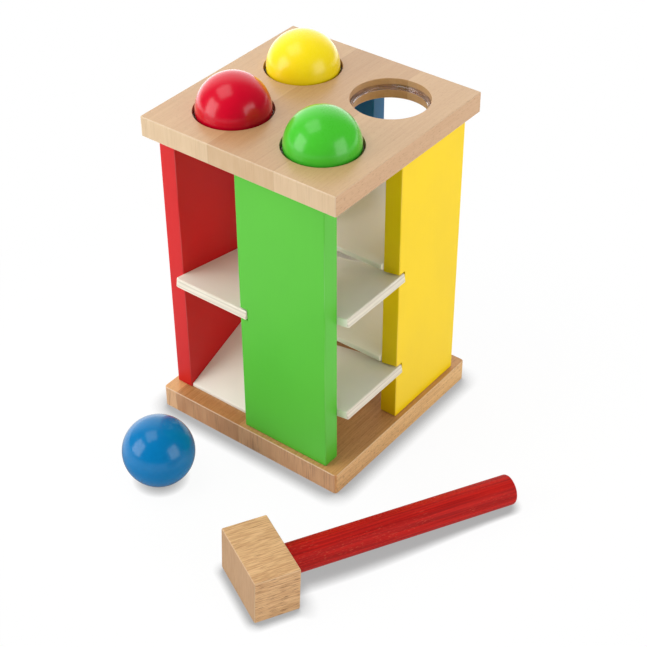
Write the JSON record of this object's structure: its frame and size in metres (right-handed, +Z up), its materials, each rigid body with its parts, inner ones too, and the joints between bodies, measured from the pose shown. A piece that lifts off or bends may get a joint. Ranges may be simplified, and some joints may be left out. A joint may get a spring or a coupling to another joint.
{
  "type": "ball pounding toy",
  "caption": "Wooden ball pounding tower: painted panels between beech plates hold a spiral of white ramps, with balls seated in ringed holes and a loose hammer.",
  "frame": {"origin": "centre of the base plate's underside", "axes": "+Z up; -Y is the side where the ball rolls out; +X is the side to the right of it"},
  "size_m": [0.2491, 0.2657, 0.254],
  "materials": {
    "beech_base": "clear satin lacquer on edge-glued beech",
    "beech_top": "clear satin lacquer on edge-glued beech",
    "paint_green": "satin enamel on wood",
    "paint_yellow": "satin enamel on wood",
    "paint_blue": "satin enamel on wood",
    "paint_red": "satin enamel on wood",
    "paint_white": "satin enamel on wood",
    "ring_clear": "soft clear plastic",
    "ball_green": "gloss enamel on wood",
    "ball_yellow": "gloss enamel on wood",
    "ball_red": "gloss enamel on wood",
    "ball_blue": "gloss enamel on wood",
    "beech_head": "plain sanded wood",
    "stain_red": "red stain over open grain",
    "beech_dowel": "plain turned wood",
    "screw_steel": "zinc plated"
  },
  "bodies": {
    "tower": {"base_plate": "beech_base", "top_plate": "beech_top", "panel_green": "paint_green", "panel_yellow": "paint_yellow", "panel_blue": "paint_blue", "panel_red": "paint_red", "ramp_front_lower": "paint_white", "ramp_right_lower": "paint_white", "ramp_back_lower": "paint_white", "ramp_left": "paint_white", "ramp_front_upper": "paint_white", "ramp_right_upper": "paint_white", "ramp_back_upper": "paint_white", "exit_ramp": "paint_white", "ring_front": "ring_clear", "ring_right": "ring_clear", "ring_back": "ring_clear", "ring_left": "ring_clear", "top_dowels": "beech_dowel", "ramp_pins": "beech_dowel", "base_screws": "screw_steel"},
    "ball_green": {"ball_green": "ball_green"},
    "ball_yellow": {"ball_yellow": "ball_yellow"},
    "ball_red": {"ball_red": "ball_red"},
    "ball_blue": {"ball_blue": "ball_blue"},
    "hammer": {"hammer_head": "beech_head", "hammer_handle": "stain_red"}
  },
  "joints": [
    {"name": "red_ball_pound", "type": "slide", "parent": "tower", "child": "ball_red", "axis": [0, 0, 1], "range_m": [-0.098, 0.06], "deforming": ["ring_left"]},
    {"name": "yellow_ball_pound", "type": "slide", "parent": "tower", "child": "ball_yellow", "axis": [0, 0, 1], "range_m": [-0.0425, 0.06], "deforming": ["ring_back"]},
    {"name": "green_ball_pound", "type": "slide", "parent": "tower", "child": "ball_green", "axis": [0, 0, 1], "range_m": [-0.0795, 0.06], "deforming": ["ring_front"]},
    {"name": "blue_ball_roll", "type": "slide", "parent": "tower", "child": "ball_blue", "axis": [0, -1, 0], "range_m": [-0.033, 0.15]},
    {"name": "hammer_lift", "type": "slide", "parent": "tower", "child": "hammer", "axis": [0, 0, 1], "range_m": [0, 0.3]}
  ]
}
